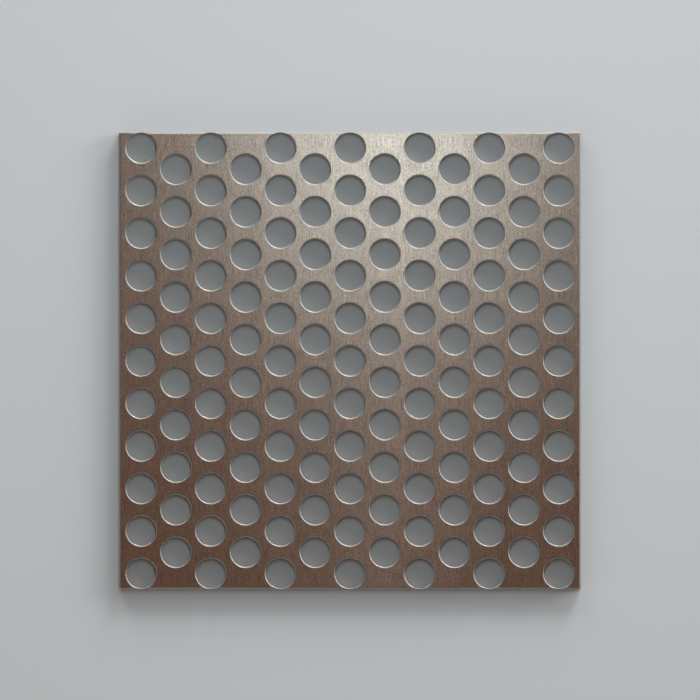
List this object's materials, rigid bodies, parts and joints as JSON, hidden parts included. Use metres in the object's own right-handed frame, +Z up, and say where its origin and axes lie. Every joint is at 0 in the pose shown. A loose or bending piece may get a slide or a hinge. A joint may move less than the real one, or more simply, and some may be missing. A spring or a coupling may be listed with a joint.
{
  "type": "perforated metal sheet",
  "caption": "Flat rectangular steel sheet punched all over with round holes in staggered columns, for guards, screens, grilles, shelves and panels.",
  "frame": {"origin": "centre of the flat underside, in the middle of the sheet's outline", "axes": "+X across the columns of holes, +Y along the columns and the grain, +Z up, out of the punched face"},
  "size_m": [0.1954, 0.1932, 0.003],
  "materials": {
    "sheet_steel": "brushed along +Y, bare and warm grey"
  },
  "bodies": {
    "root": {"perforated_sheet": "sheet_steel"}
  },
  "joints": []
}
